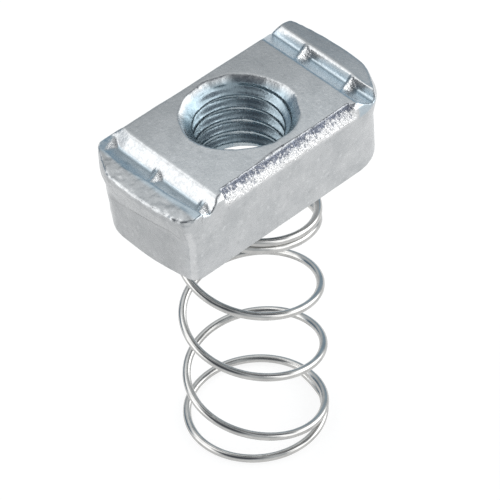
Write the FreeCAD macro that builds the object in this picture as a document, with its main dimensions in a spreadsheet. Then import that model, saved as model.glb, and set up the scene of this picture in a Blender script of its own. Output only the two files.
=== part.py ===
import FreeCAD, Part
import math
import os
import Sketcher

# Strut channel nut with a long coil spring. Millimetres.
# The origin is the centre of the threaded hole at the clamping face. +Z points out of that face,
# +X along the nut's length and +Y across its width. The spring hangs below, along -Z.

os.makedirs("parts", exist_ok=True)
doc = FreeCAD.newDocument("strut_spring_nut")

# Driving dimensions
SIZES = [
    # Nut block
    ("BodyLength", 35.4, "overall length at the swollen rim"),
    ("ShankLength", 33.7, "length of the block below the rim"),
    ("BodyWidth", 18.3, "width across the long sides"),
    ("BodyHeight", 11.15, "clamping face to underside"),
    ("EndRadius", 45.0, "radius of the two ends, which bulge slightly in plan"),
    ("TurningRadius", 6.0, "the two corners that lead when the nut is turned in"),
    ("CornerRadius", 1.5, "the two other corners"),
    ("WidthSwell", 0.3, "gain in width at the rim"),
    ("SwellDepth", 4.8, "where the swollen rim starts, below the face"),
    ("RimDepth", 1.6, "where the rim is widest, below the face"),
    ("RimInset", 0.6, "how far the rim draws in again at the top"),
    ("BaseBevel", 0.5, "bevel of the bottom edges"),
    # Grooves for the channel's lips
    ("PlateauLength", 22.3, "flat face between the grooves"),
    ("GrooveDepth", 1.9, "depth of each groove"),
    ("SteepRun", 0.7, "plan width of a groove's steep wall"),
    ("GentleRun", 2.9, "plan width of a groove's gentle wall"),
    ("LipDrop", 0.65, "how much lower the outer lip starts"),
    ("LipSlope", 0.1, "fall of the lip towards the rim, per mm"),
    ("BackWidth", 1.4, "plan width of the bevel along the whole +Y side"),
    ("BackDrop", 1.8, "depth of that bevel"),
    ("EdgeWidth", 0.6, "plan width of the small bevel along the whole -Y side"),
    ("EdgeDrop", 0.8, "depth of that bevel"),
    ("FrontWidth", 1.25, "plan width of the plateau's bevel on the -Y side"),
    ("FrontDrop", 1.5, "depth of that bevel"),
    ("FrontLength", 20.8, "length of that bevel"),
    # Saw teeth across the grooves
    ("ToothPitch", 8.0, "crest to crest"),
    ("ToothSkew", 0.46, "advance of a crest in Y, per mm of X"),
    ("ToothFall", 0.2, "fall of a crest, per mm of X"),
    ("ToothBack", 0.5, "plan width of a tooth's steep side, per mm of depth"),
    ("ToothFront", 0.95, "plan width of a tooth's other side, per mm of depth"),
    ("LeftCrest", -0.7, "Y of the middle crest at the left groove's outer edge"),
    ("RightCrest", 2.2, "Y of a crest at the right groove's inner edge"),
    # Threaded hole
    ("MinorDiameter", 10.86, "crest diameter of the 1/2-13 thread"),
    ("SinkDiameter", 14.1, "countersink at the clamping face"),
    ("ExitDiameter", 12.7, "countersink at the underside"),
    # Ring groove that holds the spring
    ("SeatDiameter", 15.2, "mean diameter of the ring groove"),
    ("SeatSidePlay", 0.075, "play between wire and ring groove on each side"),
    ("StakeWidth", 2.4, "length of one staked lug"),
    ("StakeReach", 0.5, "how far a lug closes the ring groove"),
    ("StakeThickness", 0.32, "thickness of a lug"),
    ("StakeAngle", 200, "place of the first lug, in degrees from +X"),
    ("StakePlay", 0.05, "play between wire and lugs"),
    ("SeatPlay", 0.07, "play between wire and ring groove floor"),
    # Spring
    ("WireDiameter", 1.05, "spring wire"),
    ("CoilInset", 0.075, "how far the top coils stay inside the nut's long sides"),
    ("FootSpread", 0.35, "gain in mean diameter from the top coils to the bottom one"),
    ("FootShiftX", -0.19, "how far the foot stands off the nut's axis, as the spring leans"),
    ("FootShiftY", 0.32, "the same along Y"),
    ("StandHeight", 51.1, "clamping face to the surface that the spring stands on"),
    ("ClosedGap", 0.07, "gap between neighbouring wires of the closed top turn"),
    ("FirstPitch", 12.4, "drop per turn of the first open turn, drawn out by handling"),
    ("RingGap", 0.18, "gap between the underside and the closed top turn's highest point"),
    ("RingTilt", 1.89, "rise and fall of the closed top turn"),
    ("CoilTilt", 0.6, "rise and fall of the open turns"),
]

sheet = doc.addObject("Spreadsheet::Sheet", "Sizes")
for row, (alias, value, meaning) in enumerate(SIZES, start=1):
    sheet.set(f"A{row}", alias)
    sheet.set(f"B{row}", str(value))
    sheet.set(f"C{row}", meaning)
    sheet.setAlias(f"B{row}", alias)
doc.recompute()


def size(expression):
    """The value of an expression of the sheet's sizes, as a number."""
    result = sheet.evalExpression(expression)
    return float(getattr(result, "Value", result))


# Sketch helpers
def new_sketch(body, name, plane, offset=None):
    """A sketch on one of the body's origin planes, lifted along its normal by an expression."""
    sketch = body.newObject("Sketcher::SketchObject", name)
    planes = {item.Role: item for item in body.Origin.OriginFeatures}
    sketch.AttachmentSupport = [(planes[plane], "")]
    sketch.MapMode = "FlatFace"
    if offset:
        sketch.setExpression("AttachmentOffset.Base.z", offset)
    return sketch


def tie(sketch, kind, geometry, point, expression):
    """Hold one coordinate of a point of the sketch at an expression of the sizes."""
    index = sketch.addConstraint(
        Sketcher.Constraint(kind, -1, 1, geometry, point, size(expression)))
    if expression != "0":
        sketch.setExpression(f"Constraints[{index}]", expression)


def draw_polygon(sketch, corners):
    """A closed outline of straight edges; each corner is a pair of expressions."""
    first = sketch.GeometryCount
    count = len(corners)
    points = [FreeCAD.Vector(size(across), size(up), 0) for across, up in corners]
    for index in range(count):
        sketch.addGeometry(Part.LineSegment(points[index], points[(index + 1) % count]))
    for index in range(count):
        following = first + (index + 1) % count
        sketch.addConstraint(Sketcher.Constraint("Coincident", first + index, 2, following, 1))
    for index, (across, up) in enumerate(corners):
        tie(sketch, "DistanceX", first + index, 1, across)
        tie(sketch, "DistanceY", first + index, 1, up)


def draw_plan(sketch, length, width):
    """The nut's plan: straight sides, bulging ends, and one diagonal pair of corners much rounder."""
    half_width = size(f"({width}) / 2")
    end_radius = size("Sizes.EndRadius")
    end_centre = size(f"({length}) / 2") - end_radius
    corners = [(1, -1, "Sizes.TurningRadius"), (1, 1, "Sizes.CornerRadius"),
               (-1, 1, "Sizes.TurningRadius"), (-1, -1, "Sizes.CornerRadius")]
    turns = []
    bends = []
    for side, end, radius in corners:
        bend = size(radius)
        rise = end * (half_width - bend)
        reach = math.sqrt((end_radius - bend) ** 2 - rise ** 2)
        turns.append(math.atan2(rise, side * reach) % (2 * math.pi))
        centre = FreeCAD.Vector(side * (end_centre + reach), rise, 0)
        bends.append(Part.Circle(centre, FreeCAD.Vector(0, 0, 1), bend))
    top, down = math.pi / 2, 3 * math.pi / 2
    bows = [Part.Circle(FreeCAD.Vector(side * end_centre, 0, 0), FreeCAD.Vector(0, 0, 1), end_radius)
            for side in (1, -1)]
    full = 2 * math.pi
    arcs = [
        (bends[0], down, turns[0]),
        (bows[0], turns[0] - full, turns[1]),
        (bends[1], turns[1], top),
        None,
        (bends[2], top, turns[2]),
        (bows[1], turns[2], turns[3]),
        (bends[3], turns[3], down),
        None,
    ]
    edges = []
    for arc in arcs:
        if arc:
            edges.append(sketch.addGeometry(Part.ArcOfCircle(*arc)))
        else:
            edges.append(None)
    for place in (3, 7):
        leave = sketch.getPoint(edges[place - 1], 2)
        reach = sketch.getPoint(edges[(place + 1) % 8], 1)
        edges[place] = sketch.addGeometry(Part.LineSegment(leave, reach))
    for place in range(8):
        following = edges[(place + 1) % 8]
        sketch.addConstraint(Sketcher.Constraint("Tangent", edges[place], 2, following, 1))
    radii = {0: corners[0][2], 2: corners[1][2], 4: corners[2][2], 6: corners[3][2],
             1: "Sizes.EndRadius", 5: "Sizes.EndRadius"}
    for place, radius in radii.items():
        index = sketch.addConstraint(Sketcher.Constraint("Radius", edges[place], size(radius)))
        sketch.setExpression(f"Constraints[{index}]", radius)
    for place, side in ((1, ""), (5, "-")):
        tie(sketch, "DistanceX", edges[place], 3, f"{side}(({length}) / 2 - Sizes.EndRadius)")
        sketch.addConstraint(Sketcher.Constraint("PointOnObject", edges[place], 3, -1))
    for place, side in ((3, ""), (7, "-")):
        sketch.addConstraint(Sketcher.Constraint("Horizontal", edges[place]))
        tie(sketch, "DistanceY", edges[place], 1, f"{side}({width}) / 2")


# Groove punches
# Each punch is a V-shaped bar across the nut, notched where a tooth stays. Both grooves have their
# gentle wall towards -X and their steep wall towards +X.
def make_punch(name, first_corner, crest_x, crest_y, crest_z, closed):
    """A groove punch; its V starts at first_corner, the lip or plateau edge towards -X.

    Where closed is true, the tooth nearest to the +Y side has no back and ends the groove."""
    body = doc.addObject("PartDesign::Body", name)
    left, left_up, right, right_up = first_corner
    valley = f"{left} + Sizes.GentleRun"
    bar = new_sketch(body, name + "_section", "XZ_Plane", "-Sizes.BodyWidth")
    draw_polygon(bar, [
        (left, "Sizes.GrooveDepth"),
        (left, left_up),
        (valley, "-Sizes.GrooveDepth"),
        (right, right_up),
        (right, "Sizes.GrooveDepth"),
    ])
    pad = body.newObject("PartDesign::Pad", name + "_bar")
    pad.Profile = bar
    pad.setExpression("Length", "2 * Sizes.BodyWidth")
    doc.recompute()
    notches = new_sketch(body, name + "_notches", "YZ_Plane", f"{crest_x} - Sizes.GentleRun")
    copies = math.ceil(size("Sizes.BodyWidth / Sizes.ToothPitch"))
    last = copies
    if closed:
        last = math.floor(size(f"(Sizes.BodyWidth / 2 - {crest_y}) / Sizes.ToothPitch"))
    for step in range(-copies, last + 1):
        back = "Sizes.ToothBack"
        if closed and step == last:
            back = "Sizes.BodyWidth"
        crest = (f"{crest_y} + {step} * Sizes.ToothPitch - Sizes.GentleRun * Sizes.ToothSkew",
                 f"{crest_z} + Sizes.GentleRun * Sizes.ToothFall")
        depth = "2 * Sizes.GrooveDepth"
        draw_polygon(notches, [
            crest,
            (f"{crest[0]} - {depth} * Sizes.ToothFront", f"{crest[1]} - {depth}"),
            (f"{crest[0]} + {depth} * {back}", f"{crest[1]} - {depth}"),
        ])
    cut = body.newObject("PartDesign::Pocket", name + "_teeth")
    cut.Profile = notches
    cut.UseCustomVector = True
    cut.Direction = FreeCAD.Vector(1, size("Sizes.ToothSkew"), -size("Sizes.ToothFall"))
    cut.AlongSketchNormal = True
    cut.setExpression("Length", "3 * Sizes.GentleRun")
    doc.recompute()
    return body


half_plateau = "Sizes.PlateauLength / 2"
groove_span = "(Sizes.GentleRun + Sizes.SteepRun)"
left_punch = make_punch(
    "left_punch",
    (f"-{half_plateau} - {groove_span}", "-Sizes.LipDrop", f"-{half_plateau}", "0"),
    f"-{half_plateau} - {groove_span}", "Sizes.LeftCrest", "-Sizes.LipDrop", True)
right_punch = make_punch(
    "right_punch",
    (half_plateau, "0", f"{half_plateau} + {groove_span}", "-Sizes.LipDrop"),
    half_plateau, "Sizes.RightCrest", "0", False)

# Nut blank
blank = doc.addObject("PartDesign::Body", "blank")
outlines = [
    ("foot", "Sizes.ShankLength", "Sizes.BodyWidth", "-Sizes.BodyHeight"),
    ("swell", "Sizes.ShankLength", "Sizes.BodyWidth", "-Sizes.SwellDepth"),
    ("rim", "Sizes.BodyLength", "Sizes.BodyWidth + Sizes.WidthSwell", "-Sizes.RimDepth"),
    ("crown", "Sizes.BodyLength - 2 * Sizes.RimInset", "Sizes.BodyWidth", None),
]
plans = {}
for label, length, width, height in outlines:
    plans[label] = new_sketch(blank, label + "_plan", "XY_Plane", height)
    draw_plan(plans[label], length, width)
doc.recompute()

shank = blank.newObject("PartDesign::Pad", "shank")
shank.Profile = plans["foot"]
shank.setExpression("Length", "Sizes.BodyHeight - Sizes.SwellDepth")
doc.recompute()
for lower, upper in (("swell", "rim"), ("rim", "crown")):
    loft = blank.newObject("PartDesign::AdditiveLoft", lower + "_loft")
    loft.Profile = plans[lower]
    loft.Sections = [plans[upper]]
    loft.Ruled = True
    doc.recompute()

# Lips outside the grooves, lower than the plateau and sloping to the rim
lip_start = f"({half_plateau} + {groove_span})"
lip_end = "(Sizes.BodyLength / 2 + 1)"
lip_low = f"-Sizes.LipDrop - ({lip_end} - {lip_start}) * Sizes.LipSlope"
lips = new_sketch(blank, "lip_section", "XZ_Plane")
for side in ("", "-"):
    draw_polygon(lips, [
        (f"{side}{lip_start}", "-Sizes.LipDrop"),
        (f"{side}{lip_end}", lip_low),
        (f"{side}{lip_end}", "Sizes.GrooveDepth"),
        (f"{side}{lip_start}", "Sizes.GrooveDepth"),
    ])
lip_cut = blank.newObject("PartDesign::Pocket", "lips")
lip_cut.Profile = lips
lip_cut.Midplane = True
lip_cut.setExpression("Length", "2 * Sizes.BodyWidth")
doc.recompute()

# Bevels along both long sides, and a wider one on the -Y side of the plateau
rim_side = "(Sizes.BodyWidth + Sizes.WidthSwell) / 2"
bevels = [
    ("front_edge", "-", "Sizes.EdgeWidth", "Sizes.EdgeDrop", "2 * Sizes.BodyLength"),
    ("back_bevel", "", "Sizes.BackWidth", "Sizes.BackDrop", "2 * Sizes.BodyLength"),
    ("front_bevel", "-", "Sizes.FrontWidth", "Sizes.FrontDrop", "Sizes.FrontLength"),
]
for label, side, run, drop, length in bevels:
    section = new_sketch(blank, label + "_section", "YZ_Plane")
    draw_polygon(section, [
        (f"{side}({rim_side} - {run})", "0"),
        (f"{side}{rim_side}", f"-{drop}"),
        (f"{side}({rim_side} + 1)", f"-{drop}"),
        (f"{side}({rim_side} + 1)", "0"),
    ])
    bevel = blank.newObject("PartDesign::Pocket", label)
    bevel.Profile = section
    bevel.Midplane = True
    bevel.setExpression("Length", length)
    doc.recompute()

# Bevel of the bottom edges
foot_edges = [f"Edge{number}" for number, edge in enumerate(blank.Shape.Edges, start=1)
              if edge.BoundBox.ZMax < -size("Sizes.BodyHeight") + 0.001]
base_bevel = blank.newObject("PartDesign::Chamfer", "base_bevel")
base_bevel.Base = (bevel, foot_edges)
base_bevel.setExpression("Size", "Sizes.BaseBevel")
doc.recompute()

# Threaded hole with its two countersinks, as one turned cut
hole_plan = new_sketch(blank, "hole_section", "XZ_Plane")
draw_polygon(hole_plan, [
    ("0", "0"),
    ("Sizes.SinkDiameter / 2", "0"),
    ("Sizes.MinorDiameter / 2", "-(Sizes.SinkDiameter - Sizes.MinorDiameter) / 2"),
    ("Sizes.MinorDiameter / 2",
     "-Sizes.BodyHeight + (Sizes.ExitDiameter - Sizes.MinorDiameter) / 2"),
    ("Sizes.ExitDiameter / 2", "-Sizes.BodyHeight"),
    ("0", "-Sizes.BodyHeight"),
])
hole = blank.newObject("PartDesign::Groove", "threaded_hole")
hole.Profile = hole_plan
hole.ReferenceAxis = (hole_plan, ["V_Axis"])
hole.Angle = 360
doc.recompute()

# Ring groove in the underside that holds the spring's top turn
seat_half = "(Sizes.WireDiameter / 2 + Sizes.SeatSidePlay)"
seat_inner = f"(Sizes.SeatDiameter / 2 - {seat_half})"
seat_outer = f"(Sizes.SeatDiameter / 2 + {seat_half})"
seat_floor = ("(Sizes.StakeThickness + Sizes.StakePlay + Sizes.WireDiameter + Sizes.SeatPlay"
              " - Sizes.BodyHeight)")
seat_plan = new_sketch(blank, "seat_section", "XZ_Plane")
draw_polygon(seat_plan, [
    (seat_inner, "-Sizes.BodyHeight"),
    (seat_inner, seat_floor),
    (seat_outer, seat_floor),
    (seat_outer, "-Sizes.BodyHeight"),
])
seat = blank.newObject("PartDesign::Groove", "spring_seat")
seat.Profile = seat_plan
seat.ReferenceAxis = (seat_plan, ["V_Axis"])
seat.Angle = 360
doc.recompute()

# Lugs staked over the wire, clear of the place where the wire leaves the groove
lug_plan = new_sketch(blank, "lug_plan", "XY_Plane", "-Sizes.BodyHeight")
draw_polygon(lug_plan, [
    (f"{seat_inner} - 0.3", "-Sizes.StakeWidth / 2"),
    (f"{seat_inner} + Sizes.StakeReach", "-Sizes.StakeWidth / 2"),
    (f"{seat_inner} + Sizes.StakeReach", "Sizes.StakeWidth / 2"),
    (f"{seat_inner} - 0.3", "Sizes.StakeWidth / 2"),
])
lug_plan.AttachmentOffset = FreeCAD.Placement(
    FreeCAD.Vector(0, 0, -size("Sizes.BodyHeight")),
    FreeCAD.Rotation(FreeCAD.Vector(0, 0, 1), size("Sizes.StakeAngle")))
lug_plan.setExpression("AttachmentOffset.Base.z", "-Sizes.BodyHeight")
lug = blank.newObject("PartDesign::Pad", "staked_lug")
lug.Profile = lug_plan
lug.setExpression("Length", "Sizes.StakeThickness")
doc.recompute()
lugs = blank.newObject("PartDesign::PolarPattern", "staked_lugs")
lugs.Originals = [lug]
lugs.Axis = (lug_plan, ["N_Axis"])
lugs.Angle = 180
lugs.Occurrences = 4
blank.Tip = lugs
doc.recompute()

# The nut: the blank less both punches
half_cut = doc.addObject("Part::Cut", "half_cut")
half_cut.Base = blank
half_cut.Tool = left_punch
nut_body = doc.addObject("Part::Cut", "nut_body")
nut_body.Base = half_cut
nut_body.Tool = right_punch
nut_body.Label = "nut_body"
doc.recompute()

# Spring
# Angles are degrees around +Z from +X and grow down the wire. The wire runs most of a turn in the
# ring groove, drops out of it, makes one closed and tilted turn, then the open turns and one
# closed turn to stand on, whose end is left less curved.
SEAT_START = -560
SEAT_END = -260
RING_START = -190
WIDE_START = -205
WIDE_END = -120
RING_LOW = -8
OPEN_START = 270
FIRST_OPEN = 330
FIRST_END = 540
EVEN_OPEN = 600
FOOT_START = 1350
FOOT_FLAT = 1560
TAIL_START = 1770
WIRE_END = 1810
TAIL_STRAIGHTENING = 0.5
STEP = 10
OPEN_STEP = 20
WIRE_SIDES = 8


def blend(angle, start, end):
    """Smooth change from 0 to 1 between two angles."""
    share = min(1.0, max(0.0, (angle - start) / (end - start)))
    return share * share * (3 - 2 * share)


closed_pitch = size("Sizes.WireDiameter + Sizes.ClosedGap")
first_pitch = size("Sizes.FirstPitch")
wire_radius = size("Sizes.WireDiameter / 2")
seat_radius = size("Sizes.SeatDiameter / 2")
coil_radius = size("Sizes.BodyWidth / 2 - Sizes.CoilInset") - wire_radius
foot_radius = size("Sizes.FootSpread / 2") + coil_radius
seat_height = size(f"{seat_floor} - Sizes.SeatPlay") - wire_radius
foot_height = wire_radius - size("Sizes.StandHeight")
ring_height = closed_pitch * RING_START / 360 - wire_radius - size(
    "Sizes.BodyHeight + Sizes.RingGap + Sizes.RingTilt")


def mean_heights(open_pitch):
    """Heights of the coils' mean line at every step, for one pitch of the even turns."""
    heights = {0: ring_height}
    for angle in range(0, SEAT_END, -STEP):
        heights[angle - STEP] = heights[angle] + closed_pitch * STEP / 360
    for angle in range(0, WIRE_END, STEP):
        middle = angle + STEP / 2
        pitch = closed_pitch + (first_pitch - closed_pitch) * blend(middle, OPEN_START, FIRST_OPEN)
        pitch += (open_pitch - first_pitch) * blend(middle, FIRST_END, EVEN_OPEN)
        pitch *= 1 - blend(middle, FOOT_START, FOOT_FLAT)
        heights[angle + STEP] = heights[angle] - pitch * STEP / 360
    return heights


# The pitch of the even turns is found by halving: it takes up the height that is left
low_pitch = 5.0
high_pitch = 20.0
for attempt in range(40):
    open_pitch = (low_pitch + high_pitch) / 2
    if mean_heights(open_pitch)[WIRE_END] > foot_height:
        low_pitch = open_pitch
    else:
        high_pitch = open_pitch
heights = mean_heights(open_pitch)

wire_points = []
for angle in [*range(SEAT_START, 0, STEP), *range(0, WIRE_END, OPEN_STEP), WIRE_END]:
    low_share = min(1, max(0, angle / FOOT_FLAT))
    radius = seat_radius + (coil_radius - seat_radius) * blend(angle, WIDE_START, WIDE_END)
    radius += (foot_radius - coil_radius) * low_share
    if angle > TAIL_START:
        half_tail = math.radians(WIRE_END - TAIL_START) / 2
        off_middle = math.radians(angle - TAIL_START) - half_tail
        chord = math.cos(half_tail) / math.cos(off_middle)
        radius *= 1 + TAIL_STRAIGHTENING * (chord - 1)
    height = seat_height
    if angle > SEAT_END:
        tilt = size("Sizes.RingTilt")
        tilt += (size("Sizes.CoilTilt") - tilt) * blend(angle, FIRST_OPEN, EVEN_OPEN)
        tilt *= 1 - blend(angle, FOOT_START, FOOT_FLAT)
        coil_height = heights[angle] - tilt * math.cos(math.radians(angle - RING_LOW))
        height += (coil_height - height) * blend(angle, SEAT_END, RING_START)
    turn = math.radians(angle)
    wire_points.append(FreeCAD.Vector(
        radius * math.cos(turn) + low_share * size("Sizes.FootShiftX"),
        radius * math.sin(turn) + low_share * size("Sizes.FootShiftY"), height))

curve = Part.BSplineCurve()
curve.interpolate(wire_points)
centreline = doc.addObject("Part::Feature", "spring_centreline")
centreline.Shape = Part.Wire([curve.toShape()])

# The wire's section is a polygon of the round wire's area, which keeps the mesh light; its flats
# lie along the ring groove's floor and walls
corner_angle = 2 * math.pi / WIRE_SIDES
wire_section = doc.addObject("Part::RegularPolygon", "wire_section")
wire_section.Polygon = WIRE_SIDES
wire_section.Circumradius = wire_radius * math.sqrt(corner_angle / math.sin(corner_angle))
up = FreeCAD.Vector(0, 0, 1)
wire_start = curve.tangent(curve.FirstParameter)[0]
upright = FreeCAD.Rotation(up, FreeCAD.Vector(0, 0, 0), wire_start, "ZXY")
wire_section.Placement = FreeCAD.Placement(
    wire_points[0], upright * FreeCAD.Rotation(up, 180 / WIRE_SIDES))
coil_spring = doc.addObject("Part::Sweep", "coil_spring")
coil_spring.Sections = [wire_section]
coil_spring.Spine = (centreline, ["Edge1"])
coil_spring.Solid = True
coil_spring.Frenet = False
coil_spring.Label = "coil_spring"
doc.recompute()

# Checks, then one STEP file per node
for item in doc.Objects:
    if "Invalid" in item.State or "Error" in item.State:
        raise RuntimeError(f"{item.Name} did not compute: {item.State}")
for item in (nut_body, coil_spring):
    if item.Shape.isNull() or not item.Shape.isValid():
        raise RuntimeError(f"{item.Label} has no valid shape")
    item.Shape.exportStep(f"parts/{item.Label}.step")
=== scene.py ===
import bpy
import math
import numpy as np
from mathutils import Matrix, Vector


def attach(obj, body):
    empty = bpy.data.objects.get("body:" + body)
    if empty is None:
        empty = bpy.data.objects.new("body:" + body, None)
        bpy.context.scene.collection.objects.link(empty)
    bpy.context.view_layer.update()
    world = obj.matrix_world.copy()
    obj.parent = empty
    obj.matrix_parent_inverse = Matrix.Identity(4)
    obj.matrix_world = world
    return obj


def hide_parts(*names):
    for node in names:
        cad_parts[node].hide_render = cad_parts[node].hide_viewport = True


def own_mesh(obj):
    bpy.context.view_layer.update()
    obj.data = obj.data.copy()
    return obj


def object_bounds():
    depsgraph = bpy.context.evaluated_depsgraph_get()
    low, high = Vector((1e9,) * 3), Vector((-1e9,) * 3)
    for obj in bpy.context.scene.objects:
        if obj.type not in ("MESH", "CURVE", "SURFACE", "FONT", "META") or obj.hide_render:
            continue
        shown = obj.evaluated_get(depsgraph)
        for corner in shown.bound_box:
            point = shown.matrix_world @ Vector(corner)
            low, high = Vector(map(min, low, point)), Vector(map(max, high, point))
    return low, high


# Strut spring nut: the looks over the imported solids. Lengths are metres, and MM turns mm into them.
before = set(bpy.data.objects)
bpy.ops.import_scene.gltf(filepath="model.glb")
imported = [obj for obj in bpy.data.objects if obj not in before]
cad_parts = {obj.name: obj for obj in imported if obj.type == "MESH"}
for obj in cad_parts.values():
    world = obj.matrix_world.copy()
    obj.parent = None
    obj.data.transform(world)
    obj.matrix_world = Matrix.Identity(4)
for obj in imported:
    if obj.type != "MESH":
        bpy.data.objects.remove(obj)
cad_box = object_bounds()
MM = 0.001
scene = bpy.context.scene

# Main sizes, in mm
HEIGHT = 11.15
STAND = 51.1
PLATEAU_END = 11.15
GROOVE_WIDTH = 3.6
GROOVE_DEPTH = 1.9
LIP_DROP = 0.65


# Camera, from the photo's perspective
def place_camera():
    azimuth = math.radians(-40.1)
    elevation = math.radians(44.06)
    roll = math.radians(-3.97)
    distance = 508.0
    pixels_per_mm = 8.44
    centre = (238.0, 113.6)
    frame_size = 500
    sensor = 36.0
    back = Vector((math.sin(azimuth) * math.cos(elevation),
                   -math.cos(azimuth) * math.cos(elevation),
                   math.sin(elevation)))
    level = Vector((math.cos(azimuth), math.sin(azimuth), 0))
    rise = back.cross(level)
    right = math.cos(roll) * level + math.sin(roll) * rise
    up = -math.sin(roll) * level + math.cos(roll) * rise
    aside = (frame_size / 2 - centre[0]) / pixels_per_mm
    below = (frame_size / 2 - centre[1]) / pixels_per_mm
    place = aside * right - below * up + distance * back
    data = bpy.data.cameras.new("camera")
    data.sensor_width = sensor
    data.lens = pixels_per_mm * distance * sensor / frame_size
    data.clip_start = 0.01
    data.clip_end = 20
    camera = bpy.data.objects.new("camera", data)
    scene.collection.objects.link(camera)
    turn = Matrix((right, up, back)).transposed().to_4x4()
    camera.matrix_world = Matrix.Translation(place * MM) @ turn
    scene.camera = camera


# Smooth noise on a fixed random lattice, for dents and waves in the metal
CELLS = 32


def waves(points, length, seed):
    """Noise from -1 to 1 at each point, with features about that long, in the points' unit."""
    table = np.random.RandomState(seed).uniform(-1, 1, (CELLS, CELLS, CELLS))
    off_origin = 7.3
    q = np.asarray(points, float) / length + off_origin
    base = np.floor(q).astype(int)
    share = q - base
    share = share * share * (3 - 2 * share)
    total = np.zeros(len(q))
    for corner in range(8):
        step = np.array([corner & 1, (corner >> 1) & 1, (corner >> 2) & 1])
        weight = np.prod(np.where(step, share, 1 - share), axis=1)
        index = (base + step) % CELLS
        total += weight * table[index[:, 0], index[:, 1], index[:, 2]]
    return total


def uneven(points, *layers):
    """Waves added up, each layer with its depth, its length and its seed."""
    return sum(depth * waves(points, length, seed) for depth, length, seed in layers)


# Soft limits, which say how much a change counts at each point
def ramp(value, start, end):
    """Smooth change from 0 to 1 as value goes from start to end."""
    share = np.clip((np.asarray(value, float) - start) / (end - start), 0, 1)
    return share * share * (3 - 2 * share)


def within(value, low, full_low, full_high, high):
    """1 between the two full limits, 0 beyond the outer ones and smooth in between."""
    return ramp(value, low, full_low) * ramp(-value, -high, -full_high)


def hump(value, centre, width):
    """1 at the centre, falling off on both sides."""
    return np.exp(-((value - centre) / width) ** 2)


def turned_from(angle, centre):
    """The angle from a centre, both in radians, from half a turn back to half a turn on."""
    return np.mod(angle - centre + math.pi, 2 * math.pi) - math.pi


def columns(points):
    """Copies of the points' x, y and z."""
    return points[:, 0].copy(), points[:, 1].copy(), points[:, 2].copy()


# Hole: radii of its thread, countersink and exit, in mm. Root and crest are shares of a pitch.
MAJOR = 6.35
MINOR = 5.43
PITCH = 1.9538
THREAD_START = 0.67
ROOT_SHARE = 0.02
CREST_SHARE = 0.44
SINK = 7.05
SINK_SLOPE = 0.95
SINK_LIMIT = 0.6
SINK_GAIN = 0.45
WIDE_SIDE = math.radians(-40)
EXIT = 6.35


def hole_tool():
    """The hole as one closed cutter, in rows of points from below the nut to above it."""
    around = 180
    rows = np.arange(-11.6, 0.61, 0.06)
    angles = np.linspace(0, 2 * math.pi, around, endpoint=False)
    turn, level = np.meshgrid(angles, rows)
    phase = level / PITCH - turn / (2 * math.pi) + THREAD_START
    away = np.abs(phase - np.round(phase))
    radius = MAJOR - ramp(away, ROOT_SHARE, CREST_SHARE) * (MAJOR - MINOR)
    noise_radius = 7
    wall = np.stack([noise_radius * np.cos(turn).ravel(), noise_radius * np.sin(turn).ravel(),
                     level.ravel()], 1)
    hammered = uneven(wall, (0.14, 1.6, 3), (0.12, 3.5, 4), (0.07, 0.8, 5))
    wide = hump(turned_from(turn, WIDE_SIDE), 0, 0.6)
    sink = SINK + SINK_GAIN * wide + level * SINK_SLOPE + hammered.reshape(turn.shape)
    leave = EXIT - (level + HEIGHT)
    radius = np.maximum(radius, np.maximum(sink, leave))
    radius = np.minimum(radius, SINK + SINK_LIMIT)
    points = np.stack([radius * np.cos(turn), radius * np.sin(turn), level], 2).reshape(-1, 3)
    last = (len(rows) - 1) * around
    faces = []
    for start in range(0, last, around):
        for step in range(around):
            after = (step + 1) % around
            faces.append((start + step, start + after, start + around + after, start + around + step))
    faces.append(tuple(range(around - 1, -1, -1)))
    faces.append(tuple(range(last, last + around)))
    mesh = bpy.data.meshes.new("hole_tool")
    mesh.from_pydata([tuple(p) for p in points], [], faces)
    tool = bpy.data.objects.new("hole_tool", mesh)
    scene.collection.objects.link(tool)
    return tool


# Nut, made from the solid: its hole is cut, its edges are softened and its surface is worked
VOXEL = 0.19
SOFTENING = 3


def applied(obj):
    """Give the object its mesh with the modifiers applied, and clear them."""
    bpy.context.view_layer.update()
    depsgraph = bpy.context.evaluated_depsgraph_get()
    mesh = bpy.data.meshes.new_from_object(obj.evaluated_get(depsgraph), depsgraph=depsgraph)
    obj.modifiers.clear()
    old = obj.data
    obj.data = mesh
    bpy.data.meshes.remove(old)


def vectors_of(items, name):
    """A vector property of all the items, one row each."""
    flat = np.zeros(len(items) * 3, np.float32)
    items.foreach_get(name, flat)
    return flat.reshape(-1, 3)


def make_nut():
    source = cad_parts["nut_body"]
    mesh = source.data.copy()
    mesh.materials.clear()
    in_mm = vectors_of(mesh.vertices, "co") / MM
    mesh.vertices.foreach_set("co", in_mm.ravel())
    nut = bpy.data.objects.new("forged_nut", mesh)
    scene.collection.objects.link(nut)
    weld = nut.modifiers.new("weld", "WELD")
    weld.merge_threshold = 0.001
    tool = hole_tool()
    cut = nut.modifiers.new("hole", "BOOLEAN")
    cut.operation = "DIFFERENCE"
    cut.solver = "EXACT"
    cut.object = tool
    cast = nut.modifiers.new("cast", "REMESH")
    cast.mode = "VOXEL"
    cast.voxel_size = VOXEL
    soften = nut.modifiers.new("soften", "SMOOTH")
    soften.factor = 0.5
    soften.iterations = SOFTENING
    applied(nut)
    bpy.data.objects.remove(tool)
    work_surface(nut.data)
    nut.data.transform(Matrix.Scale(MM, 4))
    for face in nut.data.polygons:
        face.use_smooth = True
    return nut


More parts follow.
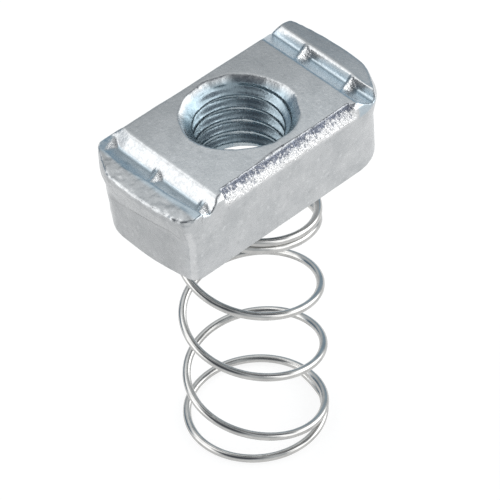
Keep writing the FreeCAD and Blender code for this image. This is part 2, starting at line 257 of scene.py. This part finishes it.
def work_surface(mesh):
    """Teeth, dents, waves and crinkles of the forged and tumbled surface, and its layers of tone,
    painted shade and painted highlights.
    """
    points = vectors_of(mesh.vertices, "co").astype(float)
    normals = vectors_of(mesh.vertex_normals, "vector").astype(float)
    away = np.hypot(points[:, 0], points[:, 1])
    flatten_sink(points)
    move_left_groove(points)
    fronts = np.maximum(raise_left_teeth(points, normals), right_fronts(points))
    place = points.copy()
    move_corners(points, place)
    crease_end(points, place)
    bevel = crinkled_bevel(place)
    roughen(points, normals, place, bevel)
    box = np.array(cad_box) / MM
    points = np.clip(points, box[0], box[1])
    mesh.vertices.foreach_set("co", points.astype(np.float32).ravel())
    for name, values in tone_layers(place, normals, away, fronts, bevel).items():
        layer = mesh.attributes.new(name, "FLOAT", "POINT")
        layer.data.foreach_set("value", np.clip(values, 0, 1).astype(np.float32))
    mesh.update()


def flatten_sink(points):
    """The countersink is flatter on its near side."""
    x, y, z = columns(points)
    most = 0.90
    near_side = math.radians(230)
    turn = np.arctan2(y, x)
    near = hump(turned_from(turn, near_side), 0, 0.70)
    pull = most * near * within(np.hypot(x, y), 5.3, 6.6, 7.2, 9.5) * ramp(z, -1.9, -0.9)
    points[:, 0] -= pull * np.cos(turn)
    points[:, 1] -= pull * np.sin(turn)


LIP_Y = (-8.2, -4.3, -0.4, 2.95, 7.3, 9.0)
LIP_BOW = (-0.6, -0.06, 0.13, 0.6, 0.2, 0)


def move_left_groove(points):
    """The left groove's valley lies further out and higher than the solid's, and its lip is bowed."""
    x, y, z = columns(points)
    valley_out = 0.75
    valley_up = 0.35
    wall_out = 0.32
    upper = ramp(z, -2.6, -2.1)
    drop = LIP_DROP * np.clip((-PLATEAU_END - x) / GROOVE_WIDTH, 0, 1)
    depth = np.clip((-z - drop) / (GROOVE_DEPTH - drop), 0, 1) * upper
    depth *= (x < -11.0) * ramp(x, -14.9, -13.6)
    points[:, 0] -= valley_out * depth
    points[:, 2] += valley_up * depth
    bow = np.interp(y, LIP_Y, LIP_BOW)
    wall = wall_out * ramp(-y, -8.4, -6.0)
    across = (bow * np.interp(x, [-16.8, -15.0, -13.2], [0, 1, 0])
              + wall * np.interp(x, [-15.0, -13.2, -11.3, -10.4], [0, 1, 1, 0]))
    points[:, 0] -= across * upper


# Saw teeth: Y of each crest at 12 mm from the middle, and how crests lean, rise and slope, per mm
LEFT_CRESTS = (-7.55, 0.45, 8.45)
RIGHT_CRESTS = (2.65, -5.35)
CREST_X = 12
CREST_SKEW = 0.44
CREST_TOP = -0.98
CREST_RISE = 0.12
FRONT_SLOPE = 0.62
BACK_SLOPE = 1.4


def raise_left_teeth(points, normals):
    """Raise the left groove's teeth, each with a long front towards -Y, and say where the fronts are."""
    x, y, z = columns(points)
    inside = (x < -12.2) * (x > -15.2) * (z > -2.2) * (np.abs(y) < 9) * (normals[:, 2] > 0.25)
    fronts = np.zeros(len(x))
    crest_height = CREST_TOP + CREST_RISE * (-11.8 - x) - 0.10 * ramp(-x, 14.2, 15.2)
    for crest in LEFT_CRESTS:
        gap = y - (crest + CREST_SKEW * (x + CREST_X))
        tooth = crest_height - np.where(gap < 0, -FRONT_SLOPE * gap, BACK_SLOPE * gap)
        above = ramp(tooth - points[:, 2], -0.02, 0.10)
        fronts = np.maximum(fronts, inside * (gap < 0.1) * above)
        points[:, 2] = np.where(inside, np.maximum(points[:, 2], tooth), points[:, 2])
    return fronts


def right_fronts(points):
    """Where the fronts of the right groove's teeth are. The solid has those teeth."""
    x, y, z = columns(points)
    inside = (x > 11.9) * (x < 14.4) * (z > -1.95) * (z < -0.2)
    gaps = [y - crest - CREST_SKEW * (x - CREST_X) for crest in RIGHT_CRESTS]
    return inside * np.max([within(gap, -1.15, -0.9, -0.1, 0.1) for gap in gaps], axis=0)


def move_corners(points, place):
    """Corners that are fuller or more cut than the solid's, and a back edge that runs in towards +X."""
    x, y, z = columns(place)
    right_front = ramp(x, 14.2, 15.6) * ramp(z, -2.6, -1.4) * hump(y, -6.2, 2.2)
    left_foot = ramp(-x, 14.0, 16.0) * ramp(y, 3.0, 7.0) * ramp(-z, 5.5, 10.0)
    left_rim = ramp(-x, 14.6, 16.2) * ramp(y, 3.5, 6.5) * ramp(z, -2.8, -1.6)
    right_back = hump(x, 15.4, 1.2) * hump(y, 8.4, 1.2) * ramp(z, -2.4, -1.2)
    back_edge = ramp(y, 6.5, 8.2) * ramp(z, -2.2, -0.6)
    points[:, 0] += 0.45 * left_foot + 0.35 * left_rim - 0.55 * right_front
    points[:, 1] += 0.35 * right_back - 0.014 * (x - 2) * back_edge


# Crease across the -X end face, as heights along Y
CREASE_Y = (-9.2, -8.5, -6.4, -3.8, 1.4, 5.0, 8.0)
CREASE_Z = (-6.2, -5.3, -3.7, -4.0, -4.9, -5.6, -7.5)
CREASE_DEPTH = 0.12


def crease_end(points, place):
    """The -X end face steps back below its crease."""
    x, y, z = columns(place)
    below = ramp(np.interp(y, CREASE_Y, CREASE_Z) - z, -0.12, 0.12)
    points[:, 0] += CREASE_DEPTH * ramp(-x, 16.6, 17.0) * below * ramp(8.2 - np.abs(y), 0, 1.5)


def crinkled_bevel(place):
    """How much a point belongs to the crinkled bevel along the plateau's -Y side."""
    x, y, z = columns(place)
    return within(z, -2.2, -1.5, -0.2, 0.1) * ramp(-y, 7.9, 8.2) * ramp(-np.abs(x), -11.0, -10.2)


def roughen(points, normals, place, bevel):
    """Waves all over outside the hole, crinkles in the bevel, and folds on the left lip and corner."""
    x, y, z = columns(place)
    outside = ramp(np.hypot(points[:, 0], points[:, 1]), 6.6, 7.6)
    drawn_out = points * np.array([0.7, 1.0, 1.0])
    lip = ramp(-x, 14.9, 15.3) * ramp(normals[:, 2], 0.3, 0.7)
    knocked = ramp(-x, 14.6, 15.4) * ramp(-y, 4.8, 6.5) * ramp(z, -3.2, -2.2)
    push = uneven(points, (0.035, 5.0, 11), (0.012, 1.7, 12))
    push -= bevel * (0.05 + uneven(drawn_out, (0.11, 0.42, 21), (0.09, 0.9, 22)))
    push += lip * uneven(points, (0.06, 0.45, 31), (0.04, 1.3, 32))
    push += knocked * uneven(points, (0.16, 0.95, 41))
    points += normals * (push * outside)[:, None]


# Dark spots in the left groove, at X and Y in mm
SPOTS = ((-14.24, 3.97), (-13.93, -3.93))


def tone_layers(place, normals, away, fronts, bevel):
    """Layers from 0 to 1 at each point, which the plating's material reads by their names: painted
    shade, a painted blue reflection, and painted shade and glints on folds.
    """
    x, y, z = columns(place)
    faces_up = ramp(normals[:, 2], 0.80, 0.97)
    end_face = ramp(-normals[:, 0], 0.6, 0.9) * ramp(-x, 15.9, 16.5)
    crease = np.interp(y, CREASE_Y, CREASE_Z)
    # The hole's walls, which get painted shade: darker and bluer
    bore = ramp(-away, -7.9, -7.3) * ramp(-z, 0.05, 0.9)
    bore_back = turned_from(np.arctan2(y, x), math.radians(135))
    # Painted shade: the plateau darker towards its back, and the left lip's top darker
    shade_and_spots = 0.40 * faces_up * ramp(y + 0.25 * x, -6, 8)
    shade_and_spots += 0.22 * faces_up * ramp(-x, 14.8, 15.4)
    # Painted shade: the -X end face darker, more so below its crease, with a painted dark line in the
    # crease
    shade_and_spots += end_face * (0.24 + 0.06 * ramp(crease - z, -0.1, 0.1) + 0.25 * hump(z, crease, 0.16))
    # Painted shade: the hole darker still on its back side
    shade_and_spots += 0.80 * bore * hump(bore_back, 0, 0.6)
    for spot_x, spot_y in SPOTS:
        spot = np.exp(-((x - spot_x) ** 2 / 0.10 + (y - spot_y) ** 2 / 0.22))
        shade_and_spots += 0.7 * spot * ramp(z, -2.2, -1.8)
    # Painted reflection: the left groove's floor and the right groove's walls bluer, but not the tooth
    # fronts
    blue_reflection = within(x, -15.6, -15.0, -12.6, -12.0) * ramp(z, -2.2, -1.9) * ramp(normals[:, 2], 0.5, 0.8)
    blue_reflection += within(x, 10.9, 11.2, 14.2, 14.6) * ramp(z, -2.2, -1.9)
    blue_reflection *= 1 - fronts
    # The near corner's vertical edge, which gets a painted highlight
    edge = ramp(-normals[:, 0], 0.35, 0.60) * ramp(-normals[:, 1], 0.35, 0.60) * ramp(-z, 2.2, 2.8)
    # The crinkled bevel, which gets a brighter painted highlight towards its foot
    bevel_foot = np.clip((-y - 7.9) / 1.25, 0, 1)
    return {
        "shade_and_spots": shade_and_spots,
        "blue_reflection": blue_reflection,
        "bore": bore,
        # The folds' painted shade and glints are mixed in where the crinkle layer is, and turn bright on
        # the tooth fronts, the near corner and the bevel's foot
        "crinkle_and_painted_light": np.maximum(bevel, np.maximum(0.35 * fronts, 0.3 * edge)),
        "painted_glint": np.maximum(bevel_foot, np.maximum(fronts, edge)),
    }


# Spring: the solid's path, with its open coils a little off it as in the photo, in mm
WIRE = 1.05
WIRE_SIDES = 20
SEAT = 7.6
COIL = 8.55
FOOT = 8.725
FOOT_X = -0.19
FOOT_Y = 0.32
CLOSED_PITCH = WIRE + 0.07
FIRST_PITCH = 12.4
RING_TILT = 1.89
COIL_TILT = 0.6
TAIL_STRAIGHTENING = 0.5
RING_GAP = 0.18
STAKE = 0.32
STAKE_PLAY = 0.05
SEAT_Z = -HEIGHT + STAKE + STAKE_PLAY + WIRE / 2
FOOT_Z = -STAND + WIRE / 2

# How far the open coils are off the solid's, for the first and the later ones, in mm
ALONG = (0.27, 0.12)
NEARER = 0.21
SAG = (0.10, 0.46)

# Angles between which those shifts come and go, and change from the first value to the later one
OFF_TURNS = (-190, -110, 1320, 1440)
ALONG_TURNS = (250, 450)
SAG_TURNS = (250, 560)

# Angles around +Z from +X, in degrees, which grow down the wire
WIRE_START = -560
SEAT_END = -260
WIDE_START = -205
RING_START = -190
WIDE_END = -120
RING_LOW = -8
OPEN_START = 270
SPLIT = 301
FIRST_OPEN = 330
FIRST_END = 540
EVEN_OPEN = 600
FOOT_START = 1350
FOOT_FLAT = 1560
TAIL_START = 1770
WIRE_END = 1810
STEP = 10
FINE_STEP = 3


def mean_heights(open_pitch):
    """Heights of the coils' mean line at every step, for one pitch of the even turns."""
    heights = {0: CLOSED_PITCH * RING_START / 360 - WIRE / 2 - (HEIGHT + RING_GAP + RING_TILT)}
    for angle in range(0, SEAT_END, -STEP):
        heights[angle - STEP] = heights[angle] + CLOSED_PITCH * STEP / 360
    for angle in range(0, WIRE_END, STEP):
        middle = angle + STEP / 2
        pitch = CLOSED_PITCH + (FIRST_PITCH - CLOSED_PITCH) * ramp(middle, OPEN_START, FIRST_OPEN)
        pitch += (open_pitch - FIRST_PITCH) * ramp(middle, FIRST_END, EVEN_OPEN)
        pitch *= 1 - ramp(middle, FOOT_START, FOOT_FLAT)
        heights[angle + STEP] = float(heights[angle] - pitch * STEP / 360)
    return heights


def fitted_heights():
    """The mean heights whose even pitch, found by halving, brings the wire's end to the foot."""
    low_pitch = 5.0
    high_pitch = 20.0
    for attempt in range(40):
        open_pitch = (low_pitch + high_pitch) / 2
        if mean_heights(open_pitch)[WIRE_END] > FOOT_Z:
            low_pitch = open_pitch
        else:
            high_pitch = open_pitch
    return mean_heights(open_pitch)


def spring_points():
    """Points of the wire's centreline, in metres, from its seat down to its foot."""
    heights = fitted_heights()
    marks = sorted(heights)
    levels = [heights[mark] for mark in marks]
    points = []
    for angle in range(WIRE_START, WIRE_END + 1, FINE_STEP):
        low_share = min(1, max(0, angle / FOOT_FLAT))
        radius = SEAT + (COIL - SEAT) * ramp(angle, WIDE_START, WIDE_END) + (FOOT - COIL) * low_share
        if angle > TAIL_START:
            half_tail = math.radians(WIRE_END - TAIL_START) / 2
            off_middle = math.radians(angle - TAIL_START) - half_tail
            chord = math.cos(half_tail) / math.cos(off_middle)
            radius *= 1 + TAIL_STRAIGHTENING * (chord - 1)
        height = SEAT_Z
        if angle > SEAT_END:
            tilt = RING_TILT + (COIL_TILT - RING_TILT) * ramp(angle, FIRST_OPEN, EVEN_OPEN)
            tilt *= 1 - ramp(angle, FOOT_START, FOOT_FLAT)
            coil_height = np.interp(angle, marks, levels)
            coil_height -= tilt * math.cos(math.radians(angle - RING_LOW))
            height += (coil_height - height) * ramp(angle, SEAT_END, RING_START)
        turn = math.radians(angle)
        off_solid = within(angle, *OFF_TURNS)
        along = (ALONG[0] + (ALONG[1] - ALONG[0]) * ramp(angle, *ALONG_TURNS)) * off_solid
        sag = (SAG[0] + (SAG[1] - SAG[0]) * ramp(angle, *SAG_TURNS)) * off_solid
        points.append((float(radius * math.cos(turn) + low_share * FOOT_X + along) * MM,
                       float(radius * math.sin(turn) + low_share * FOOT_Y - NEARER * off_solid) * MM,
                       float(height - sag) * MM))
    return points


def tube_nodes(radius, sides):
    """Geometry nodes that give a bare line of edges a round section."""
    tree = bpy.data.node_groups.new("round_wire", "GeometryNodeTree")
    tree.interface.new_socket("Geometry", in_out="INPUT", socket_type="NodeSocketGeometry")
    tree.interface.new_socket("Geometry", in_out="OUTPUT", socket_type="NodeSocketGeometry")
    add = tree.nodes.new
    start = add("NodeGroupInput")
    end = add("NodeGroupOutput")
    line = add("GeometryNodeMeshToCurve")
    section = add("GeometryNodeCurvePrimitiveCircle")
    section.inputs["Resolution"].default_value = sides
    section.inputs["Radius"].default_value = radius
    sweep = add("GeometryNodeCurveToMesh")
    sweep.inputs["Fill Caps"].default_value = True
    smooth = add("GeometryNodeSetShadeSmooth")
    paint = add("GeometryNodeSetMaterial")
    paint.inputs["Material"].default_value = wire_material()
    link = tree.links.new
    link(start.outputs[0], line.inputs["Mesh"])
    link(line.outputs["Curve"], sweep.inputs["Curve"])
    link(section.outputs["Curve"], sweep.inputs["Profile Curve"])
    link(sweep.outputs["Mesh"], smooth.inputs["Geometry"])
    link(smooth.outputs["Geometry"], paint.inputs["Geometry"])
    link(paint.outputs["Geometry"], end.inputs[0])
    return tree


def make_wire(name, points, section):
    mesh = bpy.data.meshes.new(name)
    mesh.from_pydata(points, [(i, i + 1) for i in range(len(points) - 1)], [])
    wire = bpy.data.objects.new(name, mesh)
    scene.collection.objects.link(wire)
    tube = wire.modifiers.new("tube", "NODES")
    tube.node_group = section
    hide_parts("coil_spring")
    return wire


# Materials
def nodes_of(name):
    material = bpy.data.materials.new(name)
    material.use_nodes = True
    tree = material.node_tree
    return material, tree, tree.nodes["Principled BSDF"]


def noise(tree, coords, scale, detail=4.0, roughness=0.55):
    node = tree.nodes.new("ShaderNodeTexNoise")
    node.inputs["Scale"].default_value = scale
    node.inputs["Detail"].default_value = detail
    node.inputs["Roughness"].default_value = roughness
    tree.links.new(coords, node.inputs["Vector"])
    return node.outputs["Fac"]


def mapped(tree, value, low, high, to_low, to_high):
    node = tree.nodes.new("ShaderNodeMapRange")
    node.inputs["From Min"].default_value = low
    node.inputs["From Max"].default_value = high
    node.inputs["To Min"].default_value = to_low
    node.inputs["To Max"].default_value = to_high
    tree.links.new(value, node.inputs["Value"])
    return node.outputs["Result"]


def mixed(tree, factor, first, second):
    node = tree.nodes.new("ShaderNodeMix")
    node.data_type = "RGBA"
    tree.links.new(factor, node.inputs["Factor"])
    for socket, value in ((node.inputs[6], first), (node.inputs[7], second)):
        if isinstance(value, tuple):
            socket.default_value = (*value, 1)
        else:
            tree.links.new(value, socket)
    return node.outputs[2]


def layer_of(tree, name):
    node = tree.nodes.new("ShaderNodeAttribute")
    node.attribute_name = name
    return node.outputs["Fac"]


def scaled(tree, value, factor):
    node = tree.nodes.new("ShaderNodeMath")
    node.operation = "MULTIPLY"
    node.inputs[1].default_value = factor
    tree.links.new(value, node.inputs[0])
    return node.outputs[0]


def bumped(tree, height, distance, strength=1.0, under=None):
    """A normal that follows a height, over another normal if one is given."""
    node = tree.nodes.new("ShaderNodeBump")
    node.inputs["Distance"].default_value = distance
    if isinstance(strength, float):
        node.inputs["Strength"].default_value = strength
    else:
        tree.links.new(strength, node.inputs["Strength"])
    if under is not None:
        tree.links.new(under, node.inputs["Normal"])
    tree.links.new(height, node.inputs["Height"])
    return node.outputs["Normal"]


def plus_scaled(tree, value, factor, start):
    """start + factor * value, for two sockets and one number."""
    node = tree.nodes.new("ShaderNodeMath")
    node.operation = "MULTIPLY_ADD"
    node.inputs[1].default_value = factor
    tree.links.new(value, node.inputs[0])
    tree.links.new(start, node.inputs[2])
    return node.outputs[0]


# Zinc plate: its greys, the pits and scratches in it, its painted shade and blue reflection, and the
# painted shade and glints on its folds
GREY_DIM = (0.48, 0.495, 0.505)
GREY_BRIGHT = (0.56, 0.572, 0.58)
PIT = (0.30, 0.31, 0.32)
SCRATCH = (0.74, 0.75, 0.76)
# Dark grey of the painted shade and of the dark spots
SHADE_AND_SPOT_GREY = (0.16, 0.165, 0.17)
# Painted blue reflection for the grooves
PAINTED_BLUE_REFLECTION = (0.36, 0.48, 0.56)
# Painted shade for the hole's walls
PAINTED_BORE_SHADE = (0.22, 0.34, 0.41)
# Painted shade and painted glints for the folds
PAINTED_FOLD_SHADE = (0.10, 0.12, 0.18)
PAINTED_FOLD_GLINT = (0.88, 0.88, 0.88)


def zinc_colour(tree, coords, crinkle_and_painted_light, folds):
    pits = noise(tree, coords, 1500, 6, 0.7)
    tone = mapped(tree, noise(tree, coords, 350, 5), 0.35, 0.65, 0, 1)
    colour = mixed(tree, tone, GREY_DIM, GREY_BRIGHT)
    colour = mixed(tree, mapped(tree, pits, 0.56, 0.70, 0, 0.45), colour, PIT)
    colour = mixed(tree, mapped(tree, pits, 0.44, 0.32, 0, 0.50), colour, SCRATCH)
    # Painted shade, and the dark spots, over the greys
    colour = mixed(tree, layer_of(tree, "shade_and_spots"), colour, SHADE_AND_SPOT_GREY)
    # Painted blue reflection in the grooves
    colour = mixed(tree, scaled(tree, layer_of(tree, "blue_reflection"), 0.50), colour, PAINTED_BLUE_REFLECTION)
    # Painted shade in the hole
    colour = mixed(tree, scaled(tree, layer_of(tree, "bore"), 0.60), colour, PAINTED_BORE_SHADE)
    # Painted shade and painted glints on the crinkled folds, the tooth fronts and the near corner,
    # bright where the highlight layer lifts them
    streak = plus_scaled(tree, layer_of(tree, "painted_glint"), 0.42, folds)
    folded = mixed(tree, mapped(tree, streak, 0.66, 0.82, 0, 1), PAINTED_FOLD_SHADE, PAINTED_FOLD_GLINT)
    return mixed(tree, scaled(tree, crinkle_and_painted_light, 0.8), colour, folded)


def zinc_material():
    material, tree, shader = nodes_of("zinc_plate")
    link = tree.links.new
    coords = tree.nodes.new("ShaderNodeTexCoord").outputs["Object"]
    grain = noise(tree, coords, 2600, 4)
    fine = noise(tree, coords, 9000, 2)
    crinkle_and_painted_light = layer_of(tree, "crinkle_and_painted_light")
    squeeze = tree.nodes.new("ShaderNodeVectorMath")
    squeeze.operation = "MULTIPLY"
    squeeze.inputs[1].default_value = (1.0, 0.75, 0.75)
    link(coords, squeeze.inputs[0])
    folds = noise(tree, squeeze.outputs[0], 2600, 3, 0.7)
    link(zinc_colour(tree, coords, crinkle_and_painted_light, folds), shader.inputs["Base Color"])
    shader.inputs["Metallic"].default_value = 1.0
    rough = mapped(tree, grain, 0.3, 0.7, 0.20, 0.38)
    link(plus_scaled(tree, crinkle_and_painted_light, -0.12, rough), shader.inputs["Roughness"])
    normal = bumped(tree, grain, 0.00008, 0.30)
    normal = bumped(tree, fine, 0.00003, 0.2, normal)
    normal = bumped(tree, folds, 0.0004, crinkle_and_painted_light, normal)
    link(normal, shader.inputs["Normal"])
    return material


def wire_material():
    material, tree, shader = nodes_of("bright_wire")
    link = tree.links.new
    coords = tree.nodes.new("ShaderNodeTexCoord").outputs["Object"]
    grain = noise(tree, coords, 6000, 3)
    tone = mapped(tree, noise(tree, coords, 500, 3), 0.35, 0.65, 0, 1)
    colour = mixed(tree, tone, (0.43, 0.428, 0.42), (0.53, 0.527, 0.515))
    link(colour, shader.inputs["Base Color"])
    shader.inputs["Metallic"].default_value = 1.0
    link(mapped(tree, grain, 0.3, 0.7, 0.09, 0.18), shader.inputs["Roughness"])
    link(bumped(tree, grain, 0.00002, 0.1), shader.inputs["Normal"])
    return material


# Floor: a camera, a reflection or a view through glass sees it white, with the object's shadow
FLOOR_REACH = 3.0
FLOOR_COLOUR = (0.8, 0.8, 0.8, 1)
FLOOR_GLOW = 0.84
FLOOR_DIM = (0.22, 0.22, 0.22, 1)


def floor_material():
    material = bpy.data.materials.new("white_floor")
    material.use_nodes = True
    tree = material.node_tree
    tree.nodes.clear()
    link = tree.links.new
    out = tree.nodes.new("ShaderNodeOutputMaterial")
    plain = tree.nodes.new("ShaderNodeBsdfDiffuse")
    plain.inputs["Color"].default_value = FLOOR_COLOUR
    glow = tree.nodes.new("ShaderNodeEmission")
    glow.inputs["Strength"].default_value = FLOOR_GLOW
    dim = tree.nodes.new("ShaderNodeBsdfDiffuse")
    dim.inputs["Color"].default_value = FLOOR_DIM
    white = tree.nodes.new("ShaderNodeAddShader")
    link(glow.outputs[0], white.inputs[0])
    link(dim.outputs[0], white.inputs[1])
    path = tree.nodes.new("ShaderNodeLightPath")
    seen = path.outputs["Is Camera Ray"]
    for ray in ("Is Glossy Ray", "Is Transmission Ray"):
        either = tree.nodes.new("ShaderNodeMath")
        either.operation = "MAXIMUM"
        link(seen, either.inputs[0])
        link(path.outputs[ray], either.inputs[1])
        seen = either.outputs[0]
    mix = tree.nodes.new("ShaderNodeMixShader")
    link(seen, mix.inputs["Fac"])
    link(plain.outputs[0], mix.inputs[1])
    link(white.outputs[0], mix.inputs[2])
    link(mix.outputs[0], out.inputs["Surface"])
    return material


def make_floor():
    mesh = bpy.data.meshes.new("floor")
    level = -STAND * MM
    corners = ((-1, -1), (1, -1), (1, 1), (-1, 1))
    mesh.from_pydata([(x * FLOOR_REACH, y * FLOOR_REACH, level) for x, y in corners], [], [(0, 1, 2, 3)])
    mesh.materials.append(floor_material())
    floor = bpy.data.objects.new("floor", mesh)
    scene.collection.objects.link(floor)


# World: a plain bright room, with soft cards at a direction, full and gone at two angles from it
ROOM = (0.70, 0.73, 0.75)
CARDS = (
    ((-0.75, 0.55, 0.28), 18, 38, (2.3, 2.3, 2.3)),
    ((-0.27, 0.53, 0.80), 8, 20, (2.0, 2.0, 2.0)),
    ((0.40, -0.88, 0.12), 14, 28, (2.2, 2.2, 2.2)),
    ((0.26, -0.73, 0.64), 8, 14, (2.4, 2.4, 2.4)),
    ((0.88, -0.42, 0.26), 18, 30, (3.2, 3.2, 3.2)),
    ((-0.66, -0.21, 0.66), 20, 38, (0.12, 0.13, 0.15)),
    ((0.35, -0.30, 0.88), 12, 26, (0.16, 0.17, 0.20)),
    ((-0.30, 0.93, 0.16), 14, 28, (0.20, 0.28, 0.36)),
    ((0.80, 0.58, 0.14), 16, 30, (0.38, 0.50, 0.60)),
)


def make_world():
    world = bpy.data.worlds.new("studio")
    scene.world = world
    world.use_nodes = True
    tree = world.node_tree
    direction = tree.nodes.new("ShaderNodeTexCoord").outputs["Generated"]
    colour = ROOM
    for towards, inner, outer, card in CARDS:
        dot = tree.nodes.new("ShaderNodeVectorMath")
        dot.operation = "DOT_PRODUCT"
        dot.inputs[1].default_value = Vector(towards).normalized()
        tree.links.new(direction, dot.inputs[0])
        share = mapped(tree, dot.outputs["Value"], math.cos(math.radians(outer)),
                       math.cos(math.radians(inner)), 0, 1)
        colour = mixed(tree, share, colour, card)
    background = tree.nodes["Background"]
    tree.links.new(colour, background.inputs["Color"])
    background.inputs["Strength"].default_value = 1.0


def make_lights():
    """One soft lamp above and behind, aimed at the origin."""
    place = Vector((0.10, 0.30, 0.60))
    data = bpy.data.lights.new("key", "AREA")
    data.size = 0.5
    data.energy = 0.3
    lamp = bpy.data.objects.new("key", data)
    scene.collection.objects.link(lamp)
    lamp.location = place
    lamp.rotation_euler = (-place).to_track_quat("-Z", "Y").to_euler()


place_camera()
make_floor()
make_world()
make_lights()
scene.view_settings.view_transform = "Standard"

nut = make_nut()
nut.data.materials.append(zinc_material())
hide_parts("nut_body")
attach(nut, "nut")

# The seat's closed turns go with the nut, and the open coils below them go with the spring
path = spring_points()
split = (SPLIT - WIRE_START) // FINE_STEP
section = tube_nodes(WIRE / 2 * MM, WIRE_SIDES)
ring = make_wire("seat_ring", path[:split + 1], section)
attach(ring, "nut")
coils = make_wire("wire_spring", path[split:], section)
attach(coils, "spring")
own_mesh(coils)
